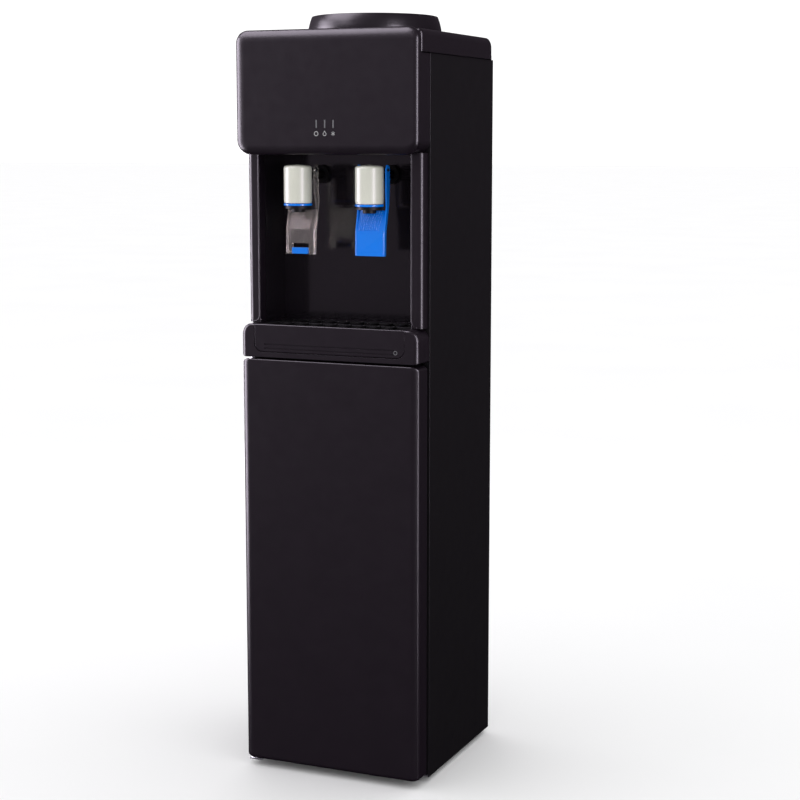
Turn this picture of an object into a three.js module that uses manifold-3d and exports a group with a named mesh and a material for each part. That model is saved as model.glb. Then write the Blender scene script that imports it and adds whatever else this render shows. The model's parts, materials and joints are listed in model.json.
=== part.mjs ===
// Floor-standing water dispenser with a bottle on top, two push-lever taps and a storage cabinet.
// Millimetres, +Z up. The exported group stands on z = 0 with its box centred on the origin.
// Inside the group, y is counted back from the front face of the cabinet door.
import * as THREE from "three";
import { mergeVertices } from "three/addons/utils/BufferGeometryUtils.js";
import Module from "manifold-3d";

const wasm = await Module();
wasm.setup();

// ---- driving dimensions ----
const GAP = 0.4; // between pieces that touch
const SHEET = 1.5; // steel sheet
const WALL = 2.5; // moulded plastic
const HALF_WIDTH = 135; // outside of the side panels
const PANEL_FRONT = 37; // front edge of the side panels
const PANEL_BACK = 272;
const FOOT_HEIGHT = 8;
const FASCIA_FRONT = -6; // the upper panel stands proud of the door
const CONDENSER_BACK = 296;

const DOOR = { half: 134, back: 30, low: 11, high: 590, corner: 8 };
const HINGE = { x: -122, y: 14, pin: 3, bore: 3.4 };
const BAND = { half: 134, low: 592.5, high: 639, corner: 8, shoulder: 16 };
const TRAY = { half: 113, low: 600.4, high: 638.6, back: 96, corner: 12 };
const RECESS = { half: 113.5, front: 20, back: 97, high: 870.5 };
const FASCIA = { half: 135.5, low: 870.5, high: 1036.5, back: 4, lowCorner: 20, highCorner: 17 };
const COVER = { half: 137, front: 4.5, back: 274, low: 1004, high: 1034 };
const BOTTLE_Y = 158; // centre of the bottle, over the cold tank
const TANK = { radius: 60, low: 885, high: 969.6 };
const LINER = { half: 118, front: 39, back: 235, high: 586, stepBack: 120, stepHigh: 215 };
const TAP = { x: 53.5, y: 20, radius: 19.2, low: 805, high: 857, shank: 843 };
const SLEEVE_BORE = 15.8; // inside of a tap's sleeve
const LEVER = { pivotY: 13, pivotZ: 850, half: 21.8, wall: 2, low: 735, bore: 2.4 };
const SWITCH = { y: 274, z: 902, half: 7, x: [54, 86], tilt: 8 };
const DRAIN = { x: -50, z: 284 };
const HOT_TANK = { x: -50, y: 185, radius: 42, low: 700, high: 830 };
const COMPRESSOR = { x: 20, y: 196, radius: 56, low: 27, high: 160 };
const LAMPS = [-12.5, 0, 12.5];

// ---- materials ----
const finish = (color, roughness, metalness = 0) =>
  new THREE.MeshStandardMaterial({ color, roughness, metalness });
const shellBlack = finish(0x262127, 0.38);
const panelBlack = finish(0x1f1c20, 0.45);
const innerBlack = finish(0x151316, 0.5);
const ivory = finish(0xd8d8cc, 0.35);
const blue = finish(0x0071e0, 0.3);
const clear = finish(0xc9ced0, 0.12);
const steel = finish(0xb9bdc1, 0.3, 1);
const zinc = finish(0x9aa0a3, 0.45, 1);
const blackSteel = finish(0x17181a, 0.4, 0.3);
const copper = finish(0xb5704a, 0.35, 1);
const foam = finish(0xe4dcb8, 0.95);
const rubber = finish(0x121212, 0.8);
const circuitGreen = finish(0x1d5a35, 0.5);
const silicone = finish(0xdfe3e4, 0.4);
const linerGrey = finish(0x3a383c, 0.6);

// ---- solids ----
// A closed geometry as a solid; a profile drawn the other way round is turned outwards.
function solid(geometry) {
  const bare = geometry.index ? geometry.toNonIndexed() : geometry;
  bare.deleteAttribute("normal");
  bare.deleteAttribute("uv");
  const merged = mergeVertices(bare, 1e-4);
  const triVerts = new Uint32Array(merged.index.array);
  const build = () =>
    new wasm.Manifold(
      new wasm.Mesh({ numProp: 3, vertProperties: merged.attributes.position.array, triVerts }),
    );
  const made = build();
  if (made.volume() > 0) return made;
  for (let i = 0; i < triVerts.length; i += 3) {
    [triVerts[i + 1], triVerts[i + 2]] = [triVerts[i + 2], triVerts[i + 1]];
  }
  return build();
}

const join = (...pieces) => pieces.reduce((all, piece) => all.add(piece));
const cut = (piece, ...tools) => tools.reduce((all, tool) => all.subtract(tool), piece);

function block([x0, x1], [y0, y1], [z0, z1]) {
  const geometry = new THREE.BoxGeometry(x1 - x0, y1 - y0, z1 - z0);
  return solid(geometry.translate((x0 + x1) / 2, (y0 + y1) / 2, (z0 + z1) / 2));
}

// A block that reaches equally far to the left and right of x = 0.
const centred = (half, y, z) => block([-half, half], y, z);

// A round bar along an axis, between two places on it; the other two coordinates are its centre.
function rod(axis, radius, [from, to], [a, b], sides = 24) {
  const geometry = new THREE.CylinderGeometry(radius, radius, to - from, sides);
  const middle = (from + to) / 2;
  if (axis === "x") return solid(geometry.rotateZ(Math.PI / 2).translate(middle, a, b));
  if (axis === "y") return solid(geometry.translate(a, middle, b));
  return solid(geometry.rotateX(Math.PI / 2).translate(a, b, middle));
}

// A turned piece: the profile is [radius, height] and closes on itself or on the axis.
function turned(profile, [x, y], sides = 32) {
  const points = profile.map(([r, z]) => new THREE.Vector2(r, z));
  const touchesAxis = profile[0][0] === 0;
  if (!touchesAxis) points.push(points[0].clone());
  const geometry = new THREE.LatheGeometry(points, sides);
  return solid(geometry.rotateX(Math.PI / 2).translate(x, y, 0));
}

// A rectangle with its own radius at each corner: low left, low right, high right, high left.
function rounded([x0, x1], [y0, y1], [lowLeft, lowRight, highRight, highLeft]) {
  const shape = new THREE.Shape();
  const quarter = Math.PI / 2;
  const corner = (x, y, radius, start) => {
    if (radius) shape.absarc(x, y, radius, start, start + quarter);
    else shape.lineTo(x, y);
  };
  shape.moveTo(x0, y0 + lowLeft);
  corner(x0 + lowLeft, y0 + lowLeft, lowLeft, 2 * quarter);
  corner(x1 - lowRight, y0 + lowRight, lowRight, 3 * quarter);
  corner(x1 - highRight, y1 - highRight, highRight, 0);
  corner(x0 + highLeft, y1 - highLeft, highLeft, quarter);
  shape.closePath();
  return shape;
}

const outline = (points) => new THREE.Shape(points.map(([a, b]) => new THREE.Vector2(a, b)));

// An outline given a thickness: drawn from above, from the front or from the right-hand side.
function slab(view, shape, [from, to], curveSegments = 5, bevel = 0) {
  const options = { depth: to - from - 2 * bevel, curveSegments, bevelEnabled: bevel > 0 };
  Object.assign(options, { bevelSize: bevel, bevelThickness: bevel, bevelOffset: -bevel });
  options.bevelSegments = 3;
  const geometry = new THREE.ExtrudeGeometry(shape, options).translate(0, 0, from + bevel);
  if (view === "front") geometry.rotateX(Math.PI / 2).scale(1, -1, 1);
  if (view === "side") geometry.rotateX(Math.PI / 2).rotateZ(Math.PI / 2);
  return solid(geometry);
}

// A round tube along a smooth curve through the points.
function tube(points, radius, steps, turns = 4) {
  const path = new THREE.CatmullRomCurve3(points.map((p) => new THREE.Vector3(...p)));
  const section = new THREE.Shape().absarc(0, 0, radius, 0, 2 * Math.PI);
  const options = { steps, curveSegments: turns, bevelEnabled: false, extrudePath: path };
  return solid(new THREE.ExtrudeGeometry(section, options));
}

const dispenser = new THREE.Group();
dispenser.position.y = -(FASCIA_FRONT + CONDENSER_BACK) / 2;

function add(name, made, material) {
  const { vertProperties, numProp, triVerts } = made.getMesh();
  const corners = new Float32Array((vertProperties.length / numProp) * 3);
  for (let i = 0; i < corners.length / 3; i += 1) {
    corners.set(vertProperties.subarray(i * numProp, i * numProp + 3), i * 3);
  }
  const geometry = new THREE.BufferGeometry();
  geometry.setAttribute("position", new THREE.BufferAttribute(corners, 3));
  geometry.setIndex(new THREE.BufferAttribute(new Uint32Array(triVerts), 1));
  geometry.computeVertexNormals();
  const mesh = new THREE.Mesh(geometry, material);
  mesh.name = name;
  dispenser.add(mesh);
}

const sides = { left: -1, right: 1 };
const span = (sign, near, far) => (sign > 0 ? [near, far] : [-far, -near]);

// ---- base, feet and steel panels ----
function buildBase() {
  const half = HALF_WIDTH - SHEET - GAP;
  const front = LINER.front;
  const back = PANEL_BACK - 2;
  const plate = centred(half, [front, back], [FOOT_HEIGHT, FOOT_HEIGHT + 2]);
  const upturn = [FOOT_HEIGHT, FOOT_HEIGHT + 16];
  const flanges = Object.values(sides).map((sign) =>
    block(span(sign, half - 2, half), [front + 3, back], upturn),
  );
  const tab = block([HINGE.x - 9, HINGE.x + 10], [HINGE.y - 9, front], [FOOT_HEIGHT, FOOT_HEIGHT + 2]);
  const hole = rod("z", HINGE.bore, [FOOT_HEIGHT - 1, FOOT_HEIGHT + 3], [HINGE.x, HINGE.y], 16);
  const rearFlange = centred(half, [back - 2, back], [FOOT_HEIGHT, 11.5]);
  add("base_pan", cut(join(plate, ...flanges, tab, rearFlange), hole), zinc);
  const footTop = FOOT_HEIGHT - GAP;
  const footProfile = [[0, 0], [12, 0], [14, 1.5], [14, 6], [10, footTop], [0, footTop]];
  for (const [end, y] of [["front", 66], ["rear", 244]]) {
    for (const [side, sign] of Object.entries(sides)) {
      add(`foot_${end}_${side}`, turned(footProfile, [sign * 98, y], 20), rubber);
    }
  }
}

function buildSidePanels() {
  const inner = HALF_WIDTH - SHEET;
  for (const [side, sign] of Object.entries(sides)) {
    const z = [FOOT_HEIGHT, COVER.low + 8];
    const sheet = block(span(sign, inner, HALF_WIDTH), [PANEL_FRONT, PANEL_BACK], z);
    const aboveTab = [FOOT_HEIGHT + 4, z[1]];
    const frontY = [PANEL_FRONT, PANEL_FRONT + SHEET];
    const rearY = [PANEL_BACK - SHEET, PANEL_BACK];
    const frontReturn = block(span(sign, inner - 8, inner + 0.5), frontY, aboveTab);
    const rearReturn = block(span(sign, inner - 12, inner + 0.5), rearY, z);
    add(`side_panel_${side}`, join(sheet, frontReturn, rearReturn), panelBlack);
  }
}

// ---- cabinet door ----
function buildDoor() {
  const plan = rounded([-DOOR.half, DOOR.half], [0, DOOR.back], [DOOR.corner, DOOR.corner, 0, 0]);
  const shell = slab("plan", plan, [DOOR.low, DOOR.high]);
  const inner = DOOR.half - WALL;
  const pocket = centred(inner, [WALL, DOOR.back + 1], [DOOR.low + WALL, DOOR.high - WALL]);
  const bossX = [-inner - 0.5, HINGE.x + 9];
  const bosses = [[DOOR.low + 1, DOOR.low + 24], [DOOR.high - 24, DOOR.high - 1]].map((z) =>
    block(bossX, [WALL - 0.5, 25.5], z),
  );
  const bores = [[DOOR.low - 1, DOOR.low + 16], [DOOR.high - 16, DOOR.high + 1]].map((z) =>
    rod("z", HINGE.bore, z, [HINGE.x, HINGE.y], 16),
  );
  add("door_panel", cut(join(cut(shell, pocket), ...bosses), ...bores), shellBlack);

  const strike = { x: [94, 114], z: [572.7, 586.6] };
  const liningZ = [DOOR.low + WALL + GAP, DOOR.high - WALL - GAP];
  const lining = centred(inner - GAP, [26, DOOR.back - 0.5], liningZ);
  const dish = centred(inner - 14, [28, DOOR.back], [DOOR.low + 20, DOOR.high - 30]);
  const seatX = [strike.x[0] - GAP, strike.x[1] + GAP];
  const seat = block(seatX, [28.2, DOOR.back], [strike.z[0] - GAP, 588]);
  add("door_liner", cut(lining, dish, seat), linerGrey);
  add("strike_plate", block(strike.x, [28.6, 29.8], strike.z), steel);
  const pinSpans = { lower: [FOOT_HEIGHT, DOOR.low + 14], upper: [DOOR.high - 14, BAND.low + 9] };
  for (const [place, z] of Object.entries(pinSpans)) {
    add(`${place}_hinge_pin`, rod("z", HINGE.pin, z, [HINGE.x, HINGE.y], 16), steel);
  }
}

// ---- storage cabinet, stepped over the compressor ----
function buildCabinet() {
  const { half, front, back, high, stepBack, stepHigh } = LINER;
  const floor = FOOT_HEIGHT + 2 + GAP;
  const outerHalf = half + 2;
  const frontFlangeHalf = 124.6;
  const outer = join(
    centred(outerHalf, [front, back + 2], [stepHigh - 2, high + 2]),
    centred(outerHalf, [front, stepBack + 2], [floor, stepHigh]),
    centred(frontFlangeHalf, [front, front + 2], [floor, high + 2]),
  );
  const inside = join(
    centred(half, [front - 1, back], [stepHigh, high]),
    centred(half, [front - 1, stepBack], [floor + 2, stepHigh + 1]),
  );
  add("cabinet_liner", cut(outer, inside), linerGrey);
  const catchBody = block([96, 112], [DOOR.back + 0.4, front + 18], [574, high - GAP]);
  add("magnetic_catch", catchBody, innerBlack);
}

// ---- front mouldings above the door ----
function buildFrontFrame() {
  const back = PANEL_FRONT - 0.5;
  const pillarLow = BAND.high + GAP;
  const barLow = RECESS.high + 1.5;
  const barHigh = COVER.low - 0.5;
  const pieces = [];
  const hollows = [];
  for (const sign of Object.values(sides)) {
    const x = span(sign, RECESS.half, 132);
    const corners = sign > 0 ? [2, 8, 0, 0] : [8, 2, 0, 0];
    pieces.push(slab("plan", rounded(x, [RECESS.front, back], corners), [pillarLow, barLow + 1]));
    const pillarInside = span(sign, RECESS.half + WALL, 132 - WALL);
    hollows.push(block(pillarInside, [RECESS.front + WALL, back + 1], [pillarLow + 2, barLow]));
    const cheekInside = span(sign, 118 + WALL, 134.5 - WALL);
    pieces.push(block(span(sign, 118, 134.5), [FASCIA.back + 0.5, back], [barLow, barHigh]));
    hollows.push(block(cheekInside, [FASCIA.back + 3, back + 1], [barLow + 3, barHigh - 3]));
  }
  pieces.push(centred(119, [FASCIA.back + 0.5, back], [barLow, barLow + 12]));
  pieces.push(centred(119, [FASCIA.back + 0.5, back], [barHigh - 13, barHigh]));
  add("front_frame", cut(join(...pieces), ...hollows), shellBlack);
}

function buildRecess() {
  const front = PANEL_FRONT;
  const low = BAND.high + GAP;
  const shell = centred(RECESS.half + WALL, [front, RECESS.back + WALL], [low, RECESS.high + WALL]);
  const inside = centred(RECESS.half, [front - 1, RECESS.back], [low - 1, RECESS.high]);
  const holes = Object.values(sides).map((s) => rod("y", 7.6, [90, 105], [s * TAP.x, TAP.shank], 20));
  add("recess_liner", cut(shell, inside, ...holes), innerBlack);
}

function buildFascia() {
  const corners = [FASCIA.lowCorner, FASCIA.lowCorner, FASCIA.highCorner, FASCIA.highCorner];
  const face = rounded([-FASCIA.half, FASCIA.half], [FASCIA.low, FASCIA.high], corners);
  const whole = slab("front", face, [FASCIA_FRONT, FASCIA.back + 6], 4, 4);
  const keep = centred(200, [FASCIA_FRONT - 1, FASCIA.back], [FASCIA.low - 5, FASCIA.high + 5]);
  const pocketFace = rounded(
    [-FASCIA.half + 5, FASCIA.half - 5],
    [FASCIA.low + 5, FASCIA.high - 5],
    corners.map((radius) => radius - 5),
  );
  const pocket = slab("front", pocketFace, [FASCIA_FRONT + 3, FASCIA.back + 1]);
  const slots = LAMPS.map((x) => block([x - 1.2, x + 1.2], [-8, 0], [905.6, 916.8]));
  add("fascia_panel", cut(whole.intersect(keep), pocket, ...slots), shellBlack);
  const prongs = LAMPS.map((x) => block([x - 0.8, x + 0.8], [FASCIA_FRONT + 0.1, -2], [906, 916.4]));
  add("light_guide", join(centred(17, [-2.6, -1.2], [903, 919]), ...prongs), clear);
  add("indicator_board", centred(32, [-0.8, 0.8], [892, 930]), circuitGreen);
}

function buildTopCover() {
  const plan = rounded([-COVER.half, COVER.half], [COVER.front, COVER.back], [3, 3, 14, 14]);
  const fromSide = rounded([COVER.front, COVER.back], [COVER.low, COVER.high], [0, 0, 24, 5]);
  const fromFront = rounded([-COVER.half, COVER.half], [COVER.low, COVER.high], [0, 0, 9, 9]);
  const z = [COVER.low, COVER.high];
  const outer = slab("plan", plan, z)
    .intersect(slab("side", fromSide, [-COVER.half - 1, COVER.half + 1], 6))
    .intersect(slab("front", fromFront, [COVER.front - 1, COVER.back + 1]));
  const skirt = HALF_WIDTH + GAP;
  const insideZ = [COVER.low - 1, COVER.high - 3];
  const insideSide = rounded([COVER.front + WALL, PANEL_BACK + GAP], insideZ, [0, 0, 22, 0]);
  const insideFront = rounded([-skirt, skirt], insideZ, [0, 0, 7, 7]);
  const inside = slab("side", insideSide, [-skirt, skirt], 6)
    .intersect(slab("front", insideFront, [0, COVER.back + 6]));
  const well = rod("z", 82, [COVER.low, COVER.high + 1], [0, BOTTLE_Y], 40);
  add("top_cover", cut(outer, inside, well), shellBlack);
}

// ---- drip tray in its band ----
const trayFace = (spare) =>
  rounded(
    [-TRAY.half - spare, TRAY.half + spare],
    [TRAY.low - spare, TRAY.high + (spare ? 20 : 0)],
    [TRAY.corner, TRAY.corner, 0, 0],
  );

function buildTrayBand() {
  const back = PANEL_FRONT - 0.5;
  const z = [BAND.low, BAND.high];
  const plan = rounded([-BAND.half, BAND.half], [0, back], [BAND.corner, BAND.corner, 0, 0]);
  const face = rounded([-BAND.half, BAND.half], z, [0, 0, BAND.shoulder, BAND.shoulder]);
  const front = slab("plan", plan, z).intersect(slab("front", face, [-1, back + 1]));
  const rear = centred(124.5, [back - 1, TRAY.back + 4], z);
  const cavity = slab("front", trayFace(GAP), [-1, TRAY.back + 1]);
  const under = centred(108, [3, TRAY.back], [BAND.low - 1, TRAY.low - WALL - GAP]);
  const hollows = [
    block([117, 131], [3, back - WALL], [BAND.low - 1, BAND.high - 15]),
    block([-131, -117], [24, back - WALL], [BAND.low - 1, BAND.high - 15]),
  ];
  const pinHole = rod("z", HINGE.bore, [BAND.low - 1, BAND.low + 10], [HINGE.x, HINGE.y], 16);
  add("tray_housing", cut(join(front, rear), cavity, under, ...hollows, pinHole), shellBlack);
}

function buildTray() {
  const body = slab("front", trayFace(0), [0.4, TRAY.back]);
  const basin = centred(107, [7, TRAY.back - 6], [TRAY.low + WALL, TRAY.high + 1]);
  const ledge = centred(110.5, [4, TRAY.back - WALL], [TRAY.high - 5, TRAY.high + 1]);
  const grooves = [604, 609.6].map((z) => centred(98, [-1, 1.6], [z, z + 1.6]));
  add("drip_tray", cut(body, basin, ledge, ...grooves), shellBlack);
  const plate = centred(110, [4.5, TRAY.back - WALL - 0.5], [TRAY.high - 4.6, TRAY.high - 0.8]);
  const slots = [];
  for (let column = -4; column <= 4; column += 1) {
    for (const y of [[14, 46], [54, 86]]) {
      slots.push(block([column * 22 - 7, column * 22 + 7], y, [TRAY.high - 6, TRAY.high]));
    }
  }
  add("drip_grille", cut(plate, ...slots), innerBlack);
}

// ---- taps ----
// A lever is two arms joined by a paddle; outlines are seen from the side, back from the tap's axis.
function leverSolid(x, drop) {
  const at = ([y, z]) => [TAP.y + y, z];
  const foot = drop + 1;
  const bend = 766;
  const arm = [
    [foot, LEVER.low],
    [foot + 0.5, bend],
    [drop + 9, 800],
    [7.5, 820],
    [7.5, 851],
    [11, 857],
    [15, 857],
    [19, 852],
    [19, 826],
    [drop + 17, 806],
    [foot + 6, bend],
    [foot + 5, LEVER.low],
  ];
  const blade = [
    [foot, LEVER.low],
    [foot + 0.5, bend],
    [drop + 12, 796],
    [drop + 15, 796],
    [foot + 3.5, bend],
    [foot + 3, LEVER.low],
  ];
  const armShape = outline(arm.map(at));
  const inner = LEVER.half - LEVER.wall;
  const pivot = [TAP.y + LEVER.pivotY, LEVER.pivotZ];
  return cut(
    join(
      slab("side", armShape, [x - LEVER.half, x - inner]),
      slab("side", armShape, [x + inner, x + LEVER.half]),
      slab("side", outline(blade.map(at)), [x - inner - 0.5, x + inner + 0.5]),
    ),
    rod("x", LEVER.bore, [x - 30, x + 30], pivot, 16),
  );
}

function buildTap(name, sign) {
  const x = sign * TAP.x;
  const { y, radius, low, high, shank } = TAP;
  const centre = [x, y];
  const pivot = [y + LEVER.pivotY, LEVER.pivotZ];
  const barrelTop = high - 5;
  const barrel = [
    [6, 793],
    [9, 793],
    [9, 797.5],
    [17.4, 797.5],
    [17.4, 801.2],
    [SLEEVE_BORE - GAP, 801.2],
    [SLEEVE_BORE - GAP, barrelTop],
    [6, barrelTop],
  ];
  const body = join(
    turned(barrel, centre, 20),
    rod("z", 6.5, [815, barrelTop], centre, 20),
    rod("y", 7, [y, 112], [x, shank], 20),
    rod("y", 13, [89, RECESS.back - GAP], [x, shank], 20),
    rod("x", LEVER.bore - GAP, [x - LEVER.half - 1, x + LEVER.half + 1], pivot, 16),
  );
  add(`${name}_tap_body`, body, innerBlack);
  const sleeve = [
    [SLEEVE_BORE, high - 3],
    [0, high - 3],
    [0, high],
    [radius - 2, high],
    [radius, high - 1.5],
    [radius, low],
    [SLEEVE_BORE, low],
  ];
  const shankSlot = block([x - 8.6, x + 8.6], [y + 5, y + 30], [low - 1, shank + 8]);
  const pinHole = rod("x", LEVER.bore, [x - radius, x + radius], pivot, 16);
  add(`${name}_tap_sleeve`, cut(turned(sleeve, centre, 28), shankSlot, pinHole), ivory);
  const ring = [[SLEEVE_BORE, 801.6], [19.5, 801.6], [19.5, 804.6], [SLEEVE_BORE, 804.6]];
  add(`${name}_tap_ring`, turned(ring, centre, 28), blue);
}

function buildLevers() {
  const hotDrop = 5;
  const hotX = -TAP.x;
  const notch = block([hotX - 12.4, hotX + 12.4], [TAP.y - 5, TAP.y + 20], [LEVER.low - 1, 750]);
  add("hot_lever", cut(leverSolid(hotX, hotDrop), notch), clear);
  const face = TAP.y + hotDrop;
  const button = join(
    block([hotX - 12, hotX + 12], [face - 1.5, face + 5], [LEVER.low + 0.5, 744]),
    block([hotX - 9, hotX + 9], [face + 4.4, face + 6.4], [LEVER.low + 3, 744]),
  );
  add("hot_safety_button", button, blue);
  add("cold_lever", leverSolid(TAP.x, 0), blue);
}

// ---- bottle support over the cold tank ----
function buildBottleSupport() {
  const centre = [0, BOTTLE_Y];
  const rim = COVER.high + GAP;
  const collar = [
    [94, rim],
    [93.2, 1043],
    [91.2, 1054],
    [89.4, 1059.4],
    [86.8, 1061],
    [84, 1061],
    [81.5, 1057],
    [77.5, 1046],
    [62, 1030],
    [40, 1016],
    [34, 1006],
    [34, 978],
    [14.4, 978],
    [14.4, 975.5],
    [36.5, 975.5],
    [36.5, 1004],
    [42, 1013],
    [64, 1027.6],
    [79.6, rim],
  ];
  add("bottle_collar", turned(collar, centre, 32), shellBlack);
  const probe = [
    [0, 966],
    [12, 966],
    [12, 978.4],
    [19, 978.4],
    [19, 981],
    [12, 984],
    [11, 1015],
    [9, 1030],
    [5, 1040],
    [0, 1046],
  ];
  add("bottle_probe", turned(probe, centre, 24), ivory);
}

function buildColdSide() {
  const centre = [0, BOTTLE_Y];
  const { radius, low, high } = TANK;
  const bowl = [
    [0, low],
    [radius - 8, low],
    [radius, low + 8],
    [radius, high],
    [radius - SHEET, high],
    [radius - SHEET, low + 9],
    [radius - 9, low + SHEET],
    [0, low + SHEET],
  ];
  add("cold_tank", turned(bowl, centre, 36), steel);
  const lid = [[12.6, high + GAP], [64, high + GAP], [64, 973.6], [12.6, 973.6]];
  add("reservoir_lid", turned(lid, centre, 32), ivory);
  const turns = 3.5;
  const helix = [];
  const perTurn = 16;
  for (let i = 0; i <= turns * perTurn; i += 1) {
    const angle = (i / perTurn) * 2 * Math.PI;
    const r = radius + 4.7;
    helix.push([r * Math.cos(angle), BOTTLE_Y + r * Math.sin(angle), 897 + i * 0.6]);
  }
  add("evaporator_coil", tube(helix, 3, turns * perTurn, 3), copper);
  const jacket = centred(92, [BOTTLE_Y - 92, BOTTLE_Y + 92], [877, high]);
  add("tank_insulation", cut(jacket, rod("z", 68.6, [low - GAP, high + 1], centre, 36)), foam);
  const shelf = centred(HALF_WIDTH - SHEET - GAP, [102, 268], [873.9, 876.6]);
  add("tank_support", cut(shelf, rod("z", 6, [870, 880], [45, 150], 16)), zinc);
}

function buildHotSide() {
  const { x, y, radius, low, high } = HOT_TANK;
  const port = 4; // the outlet at the top and the drain at the bottom
  const dome = 10;
  const shell = (inset) => [
    [port, low + inset],
    [radius - 14, low + 1 + inset],
    [radius - inset, low + dome],
    [radius - inset, high - dome],
    [radius - 14, high - 1 - inset],
    [port, high - inset],
  ];
  add("hot_tank", turned([...shell(0), ...shell(SHEET).reverse()], [x, y], 28), steel);
  const snug = radius + GAP;
  const band = [[snug, 742], [radius + 4, 742], [radius + 4, 768], [snug, 768]];
  add("heater_band", turned(band, [x, y], 28), zinc);
  add("tank_bracket", block([x - 30, x + 30], [y + snug, PANEL_BACK - 2.2], [790, 812]), zinc);
  const hotRoute = [
    [-TAP.x, 112.5, TAP.shank],
    [-TAP.x, 119, TAP.shank],
    [x, 150, 853],
    [x, 172, 853],
    [x, y - 1, 842],
    [x, y, high + GAP],
  ];
  add("hot_water_tube", tube(hotRoute, 5, 22), silicone);
  const coldRoute = [
    [TAP.x, 112.5, TAP.shank],
    [TAP.x, 122, TAP.shank],
    [49, 142, 848],
    [45, 150, 860],
    [45, 150, 873.4],
  ];
  add("cold_water_tube", tube(coldRoute, 5, 18), silicone);
}

function buildDrain() {
  const { x, z } = DRAIN;
  const spout = cut(rod("y", 8.6, [263, 288], [x, z], 20), rod("y", 5.4, [266, 290], [x, z], 16));
  add("drain_spout", spout, innerBlack);
  const route = [
    [x, HOT_TANK.y, HOT_TANK.low - GAP],
    [x, HOT_TANK.y, 680],
    [x, 200, 640],
    [x, 244, 604],
    [x, 250, 560],
    [x, 250, 400],
    [x, 249, 305],
    [x, 252, 290],
    [x, 257, z],
    [x, 262, z],
  ];
  add("drain_tube", tube(route, 5, 34, 3), silicone);
  const cap = cut(rod("y", 12, [276, 292], [x, z], 20), rod("y", 9, [275, 288.6], [x, z], 20));
  add("drain_cap", cap, innerBlack);
}

// ---- refrigeration ----
function buildCompressor() {
  const { x, y, radius, low, high } = COMPRESSOR;
  const pod = [
    [0, low],
    [radius - 12, low],
    [radius, low + 14],
    [radius, high - 34],
    [radius - 12, high - 10],
    [radius - 34, high],
    [0, high],
  ];
  const shell = turned(pod, [x, y], 28);
  const plate = block([x - 74, x + 74], [y - 60, y + 60], [low - 3, low + 1]);
  const terminalBox = block([x + radius - 6, x + radius + 16], [y - 16, y + 16], [62, 102]);
  add("compressor", join(shell, plate, terminalBox), blackSteel);
  for (const [end, dy] of [["front", -50], ["rear", 50]]) {
    for (const [side, sign] of Object.entries(sides)) {
      const mount = rod("z", 9, [FOOT_HEIGHT + 2 + GAP, low - 3 - GAP], [x + sign * 64, y + dy], 16);
      add(`compressor_mount_${end}_${side}`, mount, rubber);
    }
  }
}

function buildCondenser() {
  const runs = 8;
  const pitch = 62;
  const half = 92;
  const y = CONDENSER_BACK - 4.4;
  const bottom = 326;
  const pieces = [];
  for (let run = 0; run < runs; run += 1) {
    const z = bottom + run * pitch;
    pieces.push(rod("x", 2.5, [-half - 0.5, half + 0.5], [y, z], 6));
    if (run === runs - 1) break;
    const side = run % 2 ? -1 : 1;
    const bend = [];
    for (let i = 0; i <= 6; i += 1) {
      const angle = -Math.PI / 2 + (i / 6) * Math.PI;
      bend.push([side * (half + 12 * Math.cos(angle)), y, z + pitch / 2 + (pitch / 2) * Math.sin(angle)]);
    }
    pieces.push(tube(bend, 2.5, 6, 3));
  }
  add("condenser_coil", join(...pieces), blackSteel);
  const ends = [bottom - 10, bottom + (runs - 1) * pitch + 10];
  const rails = ends.map((z) => centred(84, [PANEL_BACK + GAP, y + 4.4], [z - 1, z + 1]));
  const straps = Object.values(sides).map((s) => block(span(s, 70, 84), [y + 3, y + 4.4], ends));
  add("condenser_frame", join(...rails, ...straps), blackSteel);
}

// ---- rear covers, switches and cord inlet ----
function buildRear() {
  const half = HALF_WIDTH - SHEET - 12 - 0.6;
  const y = [PANEL_BACK - 1.8, PANEL_BACK - 0.3];
  const through = [PANEL_BACK - 5, PANEL_BACK + 5];
  const { x: switchX, z: switchZ } = SWITCH;
  const window = block([switchX[0] - 10, switchX[1] + 10], through, [switchZ - 15, switchZ + 15]);
  const upper = centred(half, y, [250, COVER.low - 0.5]);
  add("rear_panel", cut(upper, window, rod("y", 9.2, through, [DRAIN.x, DRAIN.z], 20)), panelBlack);
  const gland = { x: 92, z: 52 };
  const slots = [];
  for (let row = 0; row < 8; row += 1) {
    for (const sign of Object.values(sides)) {
      slots.push(block(span(sign, 12, 98), through, [94 + row * 18, 100 + row * 18]));
    }
  }
  const lower = centred(half, y, [12, 249.4]);
  add("rear_grille", cut(lower, ...slots, rod("y", 8.6, through, [gland.x, gland.z], 20)), panelBlack);
  const flange = rod("y", 12, [PANEL_BACK, PANEL_BACK + 3], [gland.x, gland.z], 20);
  const nose = rod("y", 8, [PANEL_BACK - 6, PANEL_BACK + 14], [gland.x, gland.z], 20);
  add("cord_gland", cut(join(flange, nose), rod("y", 4, [250, 300], [gland.x, gland.z], 12)), innerBlack);

  const plateX = [switchX[0] - 16, switchX[1] + 16];
  const plate = block(plateX, [PANEL_BACK, PANEL_BACK + 5], [switchZ - 22, switchZ + 22]);
  const openingZ = [switchZ - 12.2, switchZ + 12.2];
  const openings = switchX.map((x) => block([x - 7.6, x + 7.6], [260, 290], openingZ));
  add("switch_plate", cut(plate, ...openings), innerBlack);
  const names = { [switchX[0]]: "cold_switch", [switchX[1]]: "hot_switch" };
  for (const x of switchX) {
    const rocker = outline([[-8, -7], [4.5, -11], [2.6, 0], [4.5, 11], [-8, 7]]);
    const made = slab("side", rocker, [-SWITCH.half, SWITCH.half]).rotate([SWITCH.tilt, 0, 0]);
    add(names[x], made.translate([x, SWITCH.y, switchZ]), rubber);
  }
}

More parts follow.
